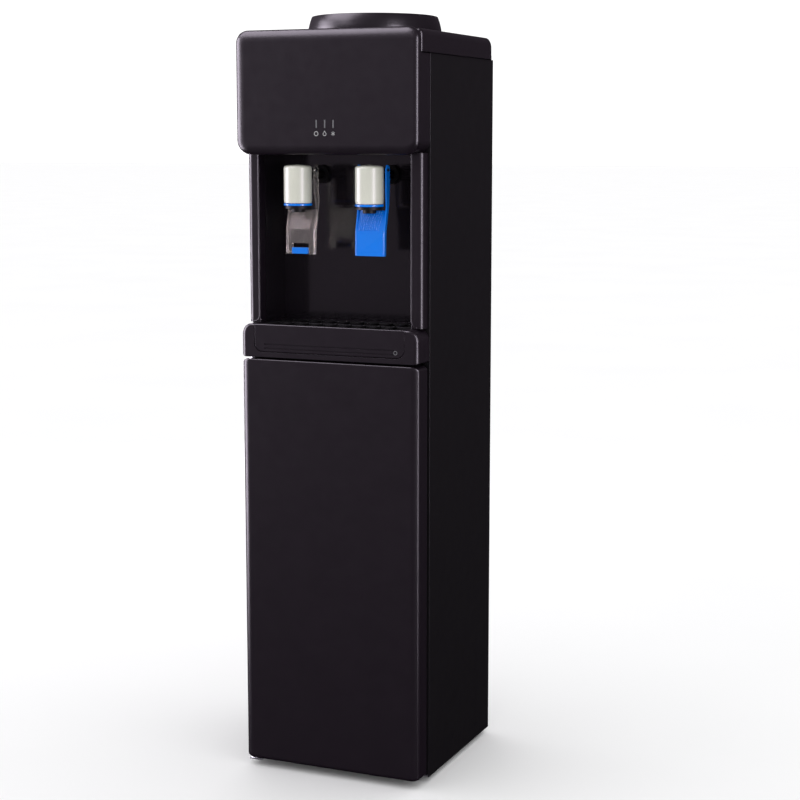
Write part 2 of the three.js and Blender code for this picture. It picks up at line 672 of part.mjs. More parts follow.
buildBase();
buildSidePanels();
buildDoor();
buildCabinet();
buildFrontFrame();
buildRecess();
buildFascia();
buildTopCover();
buildTrayBand();
buildTray();
buildTap("hot", -1);
buildTap("cold", 1);
buildLevers();
buildBottleSupport();
buildColdSide();
buildHotSide();
buildDrain();
buildCompressor();
buildCondenser();
buildRear();

export default dispenser;
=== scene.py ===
# A floor-standing bottled-water dispenser: near-black moulded front, powder-coated steel sides, two
# push-lever taps over a drip tray, a cabinet door below and a collar for the bottle on top.
# Metres, +Z up, and the front faces -Y. Places come from the nodes of the frame.
import json
import math

import bmesh
import bpy
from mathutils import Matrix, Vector


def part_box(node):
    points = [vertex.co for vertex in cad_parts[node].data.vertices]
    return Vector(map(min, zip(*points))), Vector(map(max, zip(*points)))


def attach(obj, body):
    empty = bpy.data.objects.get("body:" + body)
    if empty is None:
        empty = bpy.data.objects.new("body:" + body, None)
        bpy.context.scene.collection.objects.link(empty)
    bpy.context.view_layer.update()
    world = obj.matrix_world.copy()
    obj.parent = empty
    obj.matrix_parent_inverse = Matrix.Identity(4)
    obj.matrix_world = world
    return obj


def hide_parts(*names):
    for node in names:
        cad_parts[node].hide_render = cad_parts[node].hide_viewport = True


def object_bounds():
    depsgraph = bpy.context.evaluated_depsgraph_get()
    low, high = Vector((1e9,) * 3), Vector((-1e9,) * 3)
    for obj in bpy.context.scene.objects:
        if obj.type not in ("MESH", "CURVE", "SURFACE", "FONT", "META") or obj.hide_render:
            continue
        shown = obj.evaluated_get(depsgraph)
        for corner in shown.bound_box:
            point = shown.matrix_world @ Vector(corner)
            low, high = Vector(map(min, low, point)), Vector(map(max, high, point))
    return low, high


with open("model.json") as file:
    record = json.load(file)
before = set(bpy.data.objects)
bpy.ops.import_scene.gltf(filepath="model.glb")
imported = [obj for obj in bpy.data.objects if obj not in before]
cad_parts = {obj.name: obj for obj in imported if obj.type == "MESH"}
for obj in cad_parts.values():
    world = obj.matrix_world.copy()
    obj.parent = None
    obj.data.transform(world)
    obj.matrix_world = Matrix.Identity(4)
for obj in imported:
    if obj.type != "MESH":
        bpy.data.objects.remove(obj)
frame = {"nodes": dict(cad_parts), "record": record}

CAD_BOX = [list(corner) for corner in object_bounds()]
RECORD = frame["record"]
BODY_OF = {node: body for body, nodes in RECORD["behaviour"]["bodies"].items() for node in nodes}
SLOT_OF = {part["node"]: part["material_slot"] for part in RECORD["subparts"]}
QUARTER = math.pi / 2

# ---- driving sizes, in metres ----
WALL = 0.0025  # moulded plastic
SHEET = 0.0015  # steel sheet
GAP = 0.0004  # between pieces that touch
ROUND_STEPS = 72  # sides of a turned piece
SMALL_ROUND_STEPS = 40  # sides of a small one
SIGN_STEPS = 24  # sides of a printed ring
BEND_STEPS = 6  # steps round a filleted corner
SHARP = math.radians(38)  # an edge that turns more than this is drawn sharp
EASED = math.radians(50)  # an edge that turns more than this is eased
PRINT_SKIN = 0.00002  # how far a printed sign floats off its face
PRINT_THICKNESS = 0.00012
LAMP_PITCH = 0.0125


# ---- node trees ----
class Nodes:
    """A node tree, built node by node."""

    def __init__(self, tree):
        self.tree = tree

    def feed(self, socket, value):
        value = getattr(value, "socket", value)
        if isinstance(value, bpy.types.NodeSocket):
            self.tree.links.new(value, socket)
        else:
            socket.default_value = value

    def node(self, kind, settings=(), inputs=()):
        """One node: its settings first, then the values or links of its sockets."""
        made = self.tree.nodes.new(kind)
        for name, value in dict(settings).items():
            if name == "stops":
                self.set_stops(made.color_ramp, value)
            else:
                setattr(made, name, value)
        for name, value in dict(inputs).items():
            self.feed(made.inputs[name], value)
        return made

    @staticmethod
    def set_stops(ramp, stops):
        for index, (position, colour) in enumerate(stops):
            stop = ramp.elements[index] if index < 2 else ramp.elements.new(position)
            stop.position = position
            stop.color = colour


class Reading:
    """A number on a shader link. Arithmetic on it adds Math nodes."""

    def __init__(self, finish, socket):
        self.finish = finish
        self.socket = socket

    def math(self, operation, first, second):
        node = self.finish.node("ShaderNodeMath", {"operation": operation}, {0: first, 1: second})
        return Reading(self.finish, node.outputs[0])

    def __add__(self, other):
        return self.math("ADD", self, other)

    def __rsub__(self, other):
        return self.math("SUBTRACT", other, self)

    def __mul__(self, other):
        return self.math("MULTIPLY", self, other)

    def __lt__(self, other):
        return self.math("LESS_THAN", self, other)


class Finish(Nodes):
    """A surface finish on the Principled shader; fixed holds what is the same all over."""

    def __init__(self, name, fixed=()):
        self.material = bpy.data.materials.new(name)
        self.material.use_nodes = True
        super().__init__(self.material.node_tree)
        self.shader = self.tree.nodes["Principled BSDF"]
        for socket, value in dict(fixed).items():
            self.shader.inputs[socket].default_value = value
        self.place = self.node("ShaderNodeTexCoord").outputs["Object"]

    def stretched(self, stretch):
        return self.node("ShaderNodeMapping", (), {"Vector": self.place, "Scale": stretch}).outputs[0]

    def cloud(self, size, detail=2.0, stretch=(1, 1, 1)):
        """Smooth noise whose patches are about this many metres across."""
        inputs = {"Vector": self.stretched(stretch), "Scale": 1 / size, "Detail": detail}
        return Reading(self, self.node("ShaderNodeTexNoise", (), inputs).outputs["Fac"])

    def cells(self, size, output="Distance"):
        """Cells about this many metres across: the distance to the middle, or a colour each."""
        inputs = {"Vector": self.place, "Scale": 1 / size}
        return Reading(self, self.node("ShaderNodeTexVoronoi", (), inputs).outputs[output])

    def colour(self, mask, low, high):
        """The base colour runs from low to high as mask goes from 0 to 1."""
        settings = {"data_type": "RGBA"}
        mixed = self.node("ShaderNodeMix", settings, {0: mask, 6: (*low, 1), 7: (*high, 1)})
        self.feed(self.shader.inputs["Base Color"], mixed.outputs[2])

    def roughness(self, value):
        self.feed(self.shader.inputs["Roughness"], value)

    def relief(self, height, depth):
        """Bumps this many metres deep, where height goes from 0 to 1."""
        inputs = {"Height": height, "Distance": depth, "Strength": 1.0}
        self.feed(self.shader.inputs["Normal"], self.node("ShaderNodeBump", (), inputs).outputs[0])


def shades(colour, spread):
    """A colour a little darker and a little lighter."""
    return [c * (1 - spread) for c in colour], [c * (1 + spread) for c in colour]


# ---- finishes ----
def moulded(name, colour, roughness, gloss, grain=0.0006, depth=0.00001, extra=()):
    """Moulded plastic: faint flow clouds in the colour, uneven gloss, and a fine tool texture."""
    made = Finish(name, {"Specular IOR Level": gloss, **dict(extra)})
    made.colour(made.cloud(0.05), *shades(colour, 0.14))
    made.roughness(made.cloud(0.014, 3.0) * 0.08 + (roughness - 0.04))
    made.relief(made.cloud(grain, 3.0) + made.cloud(0.03) * 2.0, depth)
    return made.material


def powder_coat(name, colour, roughness, gloss):
    """Paint baked on steel sheet, with its orange peel."""
    made = Finish(name, {"Specular IOR Level": gloss})
    made.colour(made.cloud(0.08, 3.0), *shades(colour, 0.1))
    made.roughness(made.cloud(0.02, 2.0) * 0.1 + (roughness - 0.05))
    made.relief(made.cloud(0.0022, 2.0), 0.00002)
    return made.material


def drawn_metal(name, colour, roughness, streaks):
    """Rolled or drawn metal, with fine streaks along one way."""
    made = Finish(name, {"Metallic": 1.0})
    streak = made.cloud(0.0015, 4.0, streaks)
    made.colour(streak, *shades(colour, 0.12))
    made.roughness(streak * 0.16 + (roughness - 0.08))
    made.relief(streak, 0.000008)
    return made.material


def galvanised(name, colour):
    """Zinc-coated sheet with its crystal spangle."""
    made = Finish(name, {"Metallic": 1.0})
    crystal = made.cells(0.007, "Color")
    made.colour(crystal, *shades(colour, 0.18))
    made.roughness(crystal * 0.14 + 0.34)
    made.relief(crystal * 0.4 + made.cloud(0.001), 0.000006)
    return made.material


def rigid_foam(name, colour):
    """Cream foam with small open pores."""
    made = Finish(name, {"Specular IOR Level": 0.2})
    pore = made.cells(0.0016)
    made.colour(pore, [c * 0.72 for c in colour], colour)
    made.roughness(1.0 - pore * 0.12)
    made.relief(pore, 0.0004)
    return made.material


def clear_plastic(name):
    """Clear acrylic, with the faint ripple of a moulding."""
    fixed = {"Transmission Weight": 0.95, "IOR": 1.49, "Specular IOR Level": 0.6}
    made = Finish(name, fixed)
    ripple = made.cloud(0.005, 2.0, (2.0, 1.0, 0.4))
    made.colour(ripple, (0.8, 0.75, 0.69), (0.95, 0.92, 0.88))
    made.roughness(ripple * 0.06 + 0.03)
    made.relief(ripple, 0.0005)
    return made.material


def circuit_board(name):
    """Green board with paler copper tracks under the lacquer."""
    made = Finish(name)
    inputs = {"Vector": made.place, "Scale": 210.0, "Distortion": 5.0, "Detail": 1.0}
    wave = made.node("ShaderNodeTexWave", {"bands_direction": "X"}, inputs)
    track = Reading(made, wave.outputs["Fac"])
    made.colour(track < 0.3, (0.006, 0.07, 0.02), (0.03, 0.2, 0.07))
    made.roughness(track * 0.1 + 0.35)
    made.relief(track < 0.3, 0.00004)
    return made.material


def lamp_glow_and_painted_glow(name, colour, glow):
    """A milky finish that glows faintly: a real lamp lens, and a painted glow where it coats printed signs.
    """
    made = Finish(name, {"Emission Strength": glow, "Specular IOR Level": 0.4})
    patch = made.cloud(0.003)
    made.colour(patch, *shades(colour, 0.1))
    mixed = made.shader.inputs["Base Color"].links[0].from_socket
    made.feed(made.shader.inputs["Emission Color"], mixed)
    made.roughness(patch * 0.1 + 0.3)
    return made.material


FINISH = {
    "shell_black": moulded("satin_aubergine_black", (0.0078, 0.0044, 0.0084), 0.31, 0.36),
    "side_steel": powder_coat("black_powder_coat", (0.0058, 0.0048, 0.0063), 0.4, 0.25),
    "liner_grey": moulded("dark_grey_liner", (0.03, 0.029, 0.033), 0.6, 0.3, 0.0009, 0.00003),
    "recess_gloss": moulded("gloss_black_backwall", (0.0085, 0.0066, 0.0092), 0.12, 0.5, 0.002, 0.000002),
    "inner_black": moulded("fine_black_texture", (0.0065, 0.006, 0.007), 0.5, 0.16, 0.0005, 0.00002),
    "ivory_plastic": moulded("ivory_abs", (0.6, 0.6, 0.53), 0.34, 0.4),
    "blue_plastic": moulded("bright_blue_abs", (0.0, 0.17, 0.74), 0.24, 0.3),
    "clear_plastic": clear_plastic("clear_acrylic"),
    "tank_steel": drawn_metal("drawn_stainless", (0.58, 0.59, 0.6), 0.3, (1.0, 1.0, 12.0)),
    "plain_steel": drawn_metal("plated_steel", (0.55, 0.56, 0.58), 0.24, (1.0, 6.0, 1.0)),
    "zinc_sheet": galvanised("spangled_zinc", (0.46, 0.48, 0.49)),
    "black_steel": powder_coat("black_stove_enamel", (0.01, 0.01, 0.011), 0.38, 0.4),
    "copper_tube": drawn_metal("dull_copper", (0.62, 0.29, 0.17), 0.36, (1.0, 1.0, 8.0)),
    "foam_block": rigid_foam("cream_foam", (0.78, 0.7, 0.46)),
    "rubber_black": moulded("black_rubber", (0.011, 0.011, 0.011), 0.78, 0.2, 0.0004, 0.00004),
    "silicone_tube": moulded("milky_silicone", (0.66, 0.69, 0.7), 0.4, 0.4, extra={"Subsurface Weight": 0.2}),
    "circuit_board": circuit_board("lacquered_board"),
}
# Glows faintly: a real lamp on the light guide, and a painted glow on the tray's printed ring.
LAMP_AND_PAINTED_GLOW = lamp_glow_and_painted_glow("dim_lamp_lens", (0.13, 0.13, 0.14), 0.08)
# White print with a faint emission: a painted glow, since print is no lamp.
PAINTED_GLOW_PRINT = lamp_glow_and_painted_glow("white_screen_print", (0.36, 0.36, 0.37), 0.08)


# ---- outlines and solids ----
def rectangle(across, up, corners, steps=8):
    """A rectangle's outline as (a, b, outward a, outward b). Corners are (radius across, radius up):
    low left, low right, high right, high left."""
    (a0, a1), (b0, b1) = across, up
    lefts = [True, False, False, True]
    outline = []
    for quarter, (ra, rb) in enumerate(corners):
        ca = a0 + ra if lefts[quarter] else a1 - ra
        cb = b0 + rb if quarter < 2 else b1 - rb
        for step in range(steps + 1):
            angle = math.pi + (quarter + step / steps) * QUARTER
            na, nb = math.cos(angle), math.sin(angle)
            outline.append((ca + ra * na, cb + rb * nb, na, nb))
    return outline


def eased_rings(outline, near, far, soft, steps=6):
    """Rings from a flat face at near, round its eased edge and on to far. Soft gives (inset, depth)
    of the easing at the left, right, low and high sides."""
    way = 1 if far > near else -1
    rings = []
    for step in range(steps + 1):
        shrink = 1 - math.sin(step / steps * QUARTER)
        drop = 1 - math.cos(step / steps * QUARTER)
        ring = []
        for a, b, na, nb in outline:
            side = soft["right"] if na > 0 else soft["left"]
            end = soft["high"] if nb > 0 else soft["low"]
            depth = side[1] * na * na + end[1] * nb * nb
            ring.append((a - side[0] * na * shrink, b - end[0] * nb * shrink, near + way * depth * drop))
        rings.append(ring)
    rings.append([(a, b, far) for a, b, na, nb in outline])
    return rings


def inner_rings(outline, levels, wall=0):
    """The outline at each level, moved in by the wall."""
    return [[(a - wall * na, b - wall * nb, level) for a, b, na, nb in outline] for level in levels]


def evenly(inset):
    """The same easing at all four sides."""
    return dict.fromkeys(("left", "right", "low", "high"), (inset, inset))


def as_front(rings):
    """Rings drawn as seen from the front: across is X, up is Z and the level is Y."""
    return [[(a, level, b) for a, b, level in ring] for ring in rings]


def skin(rings, joined=False):
    """A closed surface over rings of equally many points, capped at its ends or joined in a loop."""
    bm = bmesh.new()
    rows = [[bm.verts.new(point) for point in ring] for ring in rings]
    pairs = list(zip(rows, rows[1:]))
    if joined:
        pairs.append((rows[-1], rows[0]))
    else:
        bm.faces.new(rows[0])
        bm.faces.new(rows[-1])
    for near, far in pairs:
        for i, corner in enumerate(near):
            after = (i + 1) % len(near)
            bm.faces.new((corner, near[after], far[after], far[i]))
    bmesh.ops.remove_doubles(bm, verts=bm.verts, dist=1e-6)
    bmesh.ops.dissolve_degenerate(bm, edges=bm.edges, dist=1e-6)
    bmesh.ops.recalc_face_normals(bm, faces=bm.faces)
    return bm


def block(x, y, z):
    """A box from its spans in X, Y and Z."""
    return skin(inner_rings(rectangle(x, y, [(0, 0)] * 4, 1), z))


def circle(radius, steps):
    turns = [step / steps * 2 * math.pi for step in range(steps)]
    return [(radius * math.cos(turn), radius * math.sin(turn)) for turn in turns]


def rod(along, radius, span, centre, steps=32):
    """A round bar along an axis; centre holds its other two coordinates."""
    rings = []
    for level in span:
        ring = []
        for a, b in circle(radius, steps):
            point = [centre[0] + a, centre[1] + b]
            point.insert("xyz".index(along), level)
            ring.append(point)
        rings.append(ring)
    return skin(rings)


def filleted(points, closed):
    """A line's corners (a, b, radius), each rounded by its radius."""
    line = []
    count = len(points)
    for index, (a, b, radius) in enumerate(points):
        corner = Vector((a, b))
        if not radius or (not closed and index in (0, count - 1)):
            line.append(corner)
            continue
        before = Vector(points[index - 1][:2]) - corner
        after = Vector(points[(index + 1) % count][:2]) - corner
        start = corner + before * min(1, radius / before.length)
        end = corner + after * min(1, radius / after.length)
        for step in range(BEND_STEPS + 1):
            t = step / BEND_STEPS
            line.append(start * (1 - t) ** 2 + corner * 2 * t * (1 - t) + end * t * t)
    return [(point.x, point.y) for point in line]


def turned(points, centre, closed=False, steps=ROUND_STEPS):
    """A turned piece about a vertical axis; points are (radius, height, rounding)."""
    rings = []
    for radius, height in filleted(points, closed):
        rings.append([(centre[0] + a, centre[1] + b, height) for a, b in circle(radius, steps)])
    return skin(rings, closed)


def turned_back(points, x, z):
    """A turned piece about an axis that runs back; points are (radius, y, rounding)."""
    rings = []
    for radius, depth in filleted(points, False):
        rings.append([(x + a, depth, z + b) for a, b in circle(radius, SMALL_ROUND_STEPS)])
    return skin(rings)


def as_object(name, bm):
    mesh = bpy.data.meshes.new(name)
    bm.to_mesh(mesh)
    bm.free()
    made = bpy.data.objects.new(name, mesh)
    bpy.context.scene.collection.objects.link(made)
    return made


def evaluated_mesh(made):
    graph = bpy.context.evaluated_depsgraph_get()
    return bpy.data.meshes.new_from_object(made.evaluated_get(graph))


def combined(body, *tools, operation="DIFFERENCE"):
    """One solid cut by, or joined with, others."""
    base = as_object("combine_base", body)
    others = []
    for tool in tools:
        other = as_object("combine_tool", tool)
        modifier = base.modifiers.new("combine", "BOOLEAN")
        modifier.operation = operation
        modifier.solver = "EXACT"
        modifier.object = other
        others.append(other)
    bm = bmesh.new()
    bm.from_mesh(evaluated_mesh(base))
    for made in (base, *others):
        bpy.data.objects.remove(made)
    bmesh.ops.remove_doubles(bm, verts=bm.verts, dist=1e-6)
    return bm


def merged(*solids):
    """Several separate solids as one mesh."""
    bm = bmesh.new()
    for solid in solids:
        mesh = bpy.data.meshes.new("merge")
        solid.to_mesh(mesh)
        solid.free()
        bm.from_mesh(mesh)
        bpy.data.meshes.remove(mesh)
    return bm


def settle(piece, body, slot, finish=None, stands_for=()):
    """Gives a finished piece its material and its body, and hides the nodes it stands for."""
    piece.data.materials.clear()
    piece.data.materials.append(finish or FINISH[slot])
    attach(piece, body)
    if stands_for:
        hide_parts(*stands_for)
    return piece


def make(name, bm, *nodes, ease=0.0, ease_steps=2, body=None, slot=None, finish=None):
    """A piece that stands for the nodes, shaded smooth with its edges eased by that many metres."""
    for face in bm.faces:
        face.smooth = True
    for edge in bm.edges:
        edge.smooth = edge.calc_face_angle(0) < SHARP
    piece = as_object(name, bm)
    if ease:
        bevel = piece.modifiers.new("eased_edges", "BEVEL")
        bevel.width = ease
        bevel.segments = ease_steps
        bevel.limit_method = "ANGLE"
        bevel.angle_limit = EASED
        for edge in piece.data.edges:
            edge.use_edge_sharp = False
    normals = piece.modifiers.new("even_shading", "WEIGHTED_NORMAL")
    normals.keep_sharp = True
    return settle(piece, body or BODY_OF[nodes[0]], slot or SLOT_OF[nodes[0]], finish, nodes)


def eased_copy(node, ease, ease_steps=2, top=math.inf):
    """A node's own shape up to a height, with its edges eased, for sheet metal and small mouldings."""
    bm = bmesh.new()
    bm.from_mesh(frame["nodes"][node].data)
    bmesh.ops.remove_doubles(bm, verts=bm.verts, dist=1e-5)
    for corner in bm.verts:
        corner.co.z = min(corner.co.z, top)
    bmesh.ops.dissolve_limit(bm, angle_limit=math.radians(1), verts=bm.verts, edges=bm.edges)
    make(f"{node}_eased", bm, node, ease=ease, ease_steps=ease_steps)


def middle(node):
    low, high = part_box(node)
    return (low + high) / 2


# ---- patterns that repeat ----
class Pattern(Nodes):
    """A Geometry Nodes tree with named inputs, and a material, that grows one plain mesh."""

    def __init__(self, name, inputs):
        super().__init__(bpy.data.node_groups.new(name, "GeometryNodeTree"))
        interface = self.tree.interface
        interface.new_socket("Geometry", in_out="INPUT", socket_type="NodeSocketGeometry")
        self.identifiers = {}
        for label, kind in {**inputs, "Material": "NodeSocketMaterial"}.items():
            socket = interface.new_socket(label, in_out="INPUT", socket_type=kind)
            self.identifiers[label] = socket.identifier
        interface.new_socket("Geometry", in_out="OUTPUT", socket_type="NodeSocketGeometry")
        self.given = self.tree.nodes.new("NodeGroupInput").outputs

    def shape(self, kind, settings=(), inputs=()):
        return self.node(kind, settings, inputs).outputs[0]

    def close(self, instances):
        real = self.shape("GeometryNodeRealizeInstances", (), {"Geometry": instances})
        inputs = {"Geometry": real, "Material": self.given["Material"]}
        coated = self.shape("GeometryNodeSetMaterial", (), inputs)
        self.feed(self.tree.nodes.new("NodeGroupOutput").inputs["Geometry"], coated)

    def grow(self, name, points, values, node, edges=(), slot=None):
        """Runs the tree on the points and settles the mesh on the body of a node."""
        mesh = bpy.data.meshes.new(name)
        mesh.from_pydata([Vector(point) for point in points], edges, [])
        piece = bpy.data.objects.new(name, mesh)
        bpy.context.scene.collection.objects.link(piece)
        slot = slot or SLOT_OF[node]
        modifier = piece.modifiers.new(name, "NODES")
        modifier.node_group = self.tree
        for label, value in {**values, "Material": FINISH[slot]}.items():
            modifier[self.identifiers[label]] = value
        grown = evaluated_mesh(piece)
        piece.modifiers.remove(modifier)
        piece.data = grown
        grown.shade_smooth()
        grown.set_sharp_from_angle(angle=SHARP)
        return settle(piece, BODY_OF[node], slot)


def screw_pattern():
    """A pan-head screw with a cross recess at each point, its head along the turned Z axis."""
    sizes = {"Head Radius": "NodeSocketFloat", "Turn": "NodeSocketVector"}
    made = Pattern("cross_head_screws", sizes)
    radius = made.given["Head Radius"]
    dome_inputs = {"Segments": 20, "Rings": 10, "Radius": radius}
    dome = made.shape("GeometryNodeMeshUVSphere", (), dome_inputs)
    head = made.shape("GeometryNodeTransform", (), {"Geometry": dome, "Scale": (1.0, 1.0, 0.5)})
    arms = made.node("GeometryNodeJoinGeometry")
    reach, width, depth = 1.1, 0.24, 0.5
    for size in ((reach, width, depth), (width, reach, depth)):
        arm = made.shape("GeometryNodeMeshCube", (), {"Size": size})
        scale = made.node("ShaderNodeCombineXYZ", (), {0: radius, 1: radius, 2: radius})
        inputs = {0: scale.outputs[0], 1: (0, 0, depth)}
        lift = made.node("ShaderNodeVectorMath", {"operation": "MULTIPLY"}, inputs)
        inputs = {"Geometry": arm, "Scale": scale.outputs[0], "Translation": lift.outputs[0]}
        made.tree.links.new(made.shape("GeometryNodeTransform", (), inputs), arms.inputs[0])
    inputs = {"Mesh 1": head, "Mesh 2": arms.outputs[0]}
    cut = made.shape("GeometryNodeMeshBoolean", {"operation": "DIFFERENCE"}, inputs)
    placed = {"Points": made.given["Geometry"], "Instance": cut, "Rotation": made.given["Turn"]}
    made.close(made.shape("GeometryNodeInstanceOnPoints", (), placed))
    return made


def bar_pattern():
    """A round bar at each point, its length along the turned Z axis."""
    sizes = {"Radius": "NodeSocketFloat", "Length": "NodeSocketFloat"}
    turns = {"Flatness": "NodeSocketVector", "Turn": "NodeSocketVector"}
    made = Pattern("repeated_bars", {**sizes, **turns})
    inputs = {"Vertices": 12, "Radius": made.given["Radius"], "Depth": made.given["Length"]}
    bar = made.shape("GeometryNodeMeshCylinder", (), inputs)
    inputs = {"Geometry": bar, "Scale": made.given["Flatness"]}
    bar = made.shape("GeometryNodeTransform", (), inputs)
    placed = {"Points": made.given["Geometry"], "Instance": bar, "Rotation": made.given["Turn"]}
    made.close(made.shape("GeometryNodeInstanceOnPoints", (), placed))
    return made


def stud_pattern():
    """A low dome at each point."""
    sizes = {"Radius": "NodeSocketFloat", "Flatness": "NodeSocketVector"}
    made = Pattern("low_domes", sizes)
    inputs = {"Segments": 14, "Rings": 8, "Radius": made.given["Radius"]}
    dome = made.shape("GeometryNodeMeshUVSphere", (), inputs)
    flat = made.shape("GeometryNodeTransform", (), {"Geometry": dome, "Scale": made.given["Flatness"]})
    placed = {"Points": made.given["Geometry"], "Instance": flat}
    made.close(made.shape("GeometryNodeInstanceOnPoints", (), placed))
    return made


def path_pattern():
    """A round bar that follows the drawn path, repeated side by side along X."""
    sizes = {"Radius": "NodeSocketFloat", "Count": "NodeSocketInt", "Pitch": "NodeSocketVector"}
    made = Pattern("bars_along_a_path", sizes)
    path = made.shape("GeometryNodeMeshToCurve", (), {"Mesh": made.given["Geometry"]})
    inputs = {"Resolution": 10, "Radius": made.given["Radius"]}
    section = made.shape("GeometryNodeCurvePrimitiveCircle", (), inputs)
    inputs = {"Curve": path, "Profile Curve": section, "Fill Caps": True}
    bar = made.shape("GeometryNodeCurveToMesh", (), inputs)
    line_inputs = {"Count": made.given["Count"], "Offset": made.given["Pitch"]}
    line = made.shape("GeometryNodeMeshLine", {"mode": "OFFSET"}, line_inputs)
    made.close(made.shape("GeometryNodeInstanceOnPoints", (), {"Points": line, "Instance": bar}))
    return made


def chain(points):
    """The edges that join the points in order."""
    return [(i, i + 1) for i in range(len(points) - 1)]


SCREWS = screw_pattern()
BARS = bar_pattern()
STUDS = stud_pattern()
PATHS = path_pattern()
TO_THE_REAR = (-QUARTER, 0, 0)  # turns +Z to +Y
ALONG_X = (0, QUARTER, 0)  # turns +Z to +X
UNTURNED = (0.0, 0.0, 0.0)
SINGLE = {"Count": 1, "Pitch": (0.0, 0.0, 0.0)}  # one bar along a path
ROUND = (1.0, 1.0, 1.0)  # a bar that isn't flattened
PIN_BORE = 0.0034


# ---- door ----
def make_door():
    low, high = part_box("door_panel")
    outline = rectangle((low.x, high.x), (low.z, high.z), [(0.0128, 0.0065)] * 4)
    upright = (0.0125, 0.008)
    soft = {"left": upright, "right": upright, "low": (0.006, 0.006), "high": (0.0018, 0.002)}
    rings = eased_rings(outline, low.y, high.y, soft)
    rings += inner_rings(outline, (high.y, low.y + WALL), WALL)
    pin = middle("lower_hinge_pin")
    reach = 0.006
    spans = [(z - reach, z + reach) for z in (low.z, high.z)]
    bores = [rod("z", PIN_BORE, span, (pin.x, pin.y)) for span in spans]
    make("door_shell", combined(skin(as_front(rings)), *bores), "door_panel")
    eased_copy("door_liner", 0.0012)
    eased_copy("strike_plate", 0.0003)


# ---- front mouldings ----
def make_fascia():
    low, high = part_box("fascia_panel")
    bottom, top = 0.02, 0.017
    corners = [(bottom, bottom), (bottom, bottom), (top, top), (top, top)]
    outline = rectangle((low.x, high.x), (low.z, high.z), corners, 12)
    upright = {"left": (0.0155, 0.007), "right": (0.008, 0.007)}
    soft = {**upright, "low": (0.013, 0.0075), "high": (0.0165, 0.0085)}
    rings = eased_rings(outline, low.y, high.y, soft, 14)
    rings += inner_rings(outline, (high.y, low.y + 0.003), 0.004)
    half = 0.0012
    depth = (low.y - 0.002, low.y + 0.006)
    slots = [block((x - half, x + half), depth, z) for x, z in lamp_places()]
    make("fascia_skin", combined(skin(as_front(rings)), *slots), "fascia_panel")


def lamp_places():
    """The middle and the heights of each of the three lamp bars."""
    guide_low, guide_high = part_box("light_guide")
    centre = (guide_low.x + guide_high.x) / 2
    z = (guide_low.z + 0.0026, guide_high.z - 0.0022)
    return [(centre + offset, z) for offset in (-LAMP_PITCH, 0, LAMP_PITCH)]


def make_lamps():
    """Three lamp bars that stand on one strip behind the fascia."""
    low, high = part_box("light_guide")
    half = 0.001
    ease = 0.0003
    strip = 0.0014
    bars = []
    for x, (bottom, top) in lamp_places():
        up = (bottom + ease, top - ease)
        outline = rectangle((x - half, x + half), up, [(0.0004, 0.0004)] * 4, 3)
        bars.append(skin(as_front(eased_rings(outline, low.y, high.y, evenly(ease), 3))))
    bars.append(block((low.x, high.x), (high.y - strip, high.y), (low.z, high.z)))
    make("lamp_bars", merged(*bars), "light_guide", finish=LAMP_AND_PAINTED_GLOW)


def flat_sign(points, holes, face):
    """A thin printed sign on an upright face, from its outline and its holes in X and Z."""
    bm = bmesh.new()
    edges = []
    for loop in (points, *holes):
        corners = [bm.verts.new((x, face, z)) for x, z in loop]
        edges += [bm.edges.new((corners[i], corners[i - 1])) for i in range(len(corners))]
    bmesh.ops.triangle_fill(bm, use_beauty=True, use_dissolve=False, edges=edges)
    grown = bmesh.ops.extrude_face_region(bm, geom=bm.faces[:])
    moved = [item for item in grown["geom"] if isinstance(item, bmesh.types.BMVert)]
    bmesh.ops.translate(bm, vec=(0, -PRINT_THICKNESS, 0), verts=moved)
    bmesh.ops.recalc_face_normals(bm, faces=bm.faces)
    return bm


def round_loop(x, z, radius, peak=0.0):
    """A circle, drawn up to a point when peak is given."""
    pinch = 0.55 if peak else 0
    loop = []
    for a, b in circle(radius, SIGN_STEPS):
        rise = max(0.0, b / radius)
        loop.append((x + a * (1 - pinch * rise**2), z + b + peak * rise**4))
    return loop


def ring_sign(x, z, radius, hole, face):
    return flat_sign(round_loop(x, z, radius), [round_loop(x, z, hole)], face)


def make_signs():
    """Three generic signs under the lamps: a ring, a drop and a frost star."""
    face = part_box("fascia_panel")[0].y - PRINT_SKIN
    (ring_x, z_span), (drop_x, _), (star_x, _) = lamp_places()
    z = z_span[0] - 0.0072
    ring = ring_sign(ring_x, z, 0.0032, 0.0023, face)
    drop_z = z - 0.0004
    drop_hole = round_loop(drop_x, drop_z, 0.0019, 0.0011)
    drop = flat_sign(round_loop(drop_x, drop_z, 0.0027, 0.0016), [drop_hole], face)
    arms = []
    for turn in range(3):
        angle = turn * math.pi / 3
        along = Vector((math.sin(angle), math.cos(angle))) * 0.003
        across = Vector((along.y, -along.x)) * 0.11
        corners = [along + across, along - across, -along - across, -along + across]
        layer = face - turn * PRINT_SKIN / 2
        arms.append(flat_sign([(star_x + c.x, z + c.y) for c in corners], [], layer))
    signs = merged(ring, drop, *arms)
    # The signs take the glowing print finish: a painted glow on print.
    make("fascia_signs", signs, body="cabinet", slot="ivory_plastic", finish=PAINTED_GLOW_PRINT)


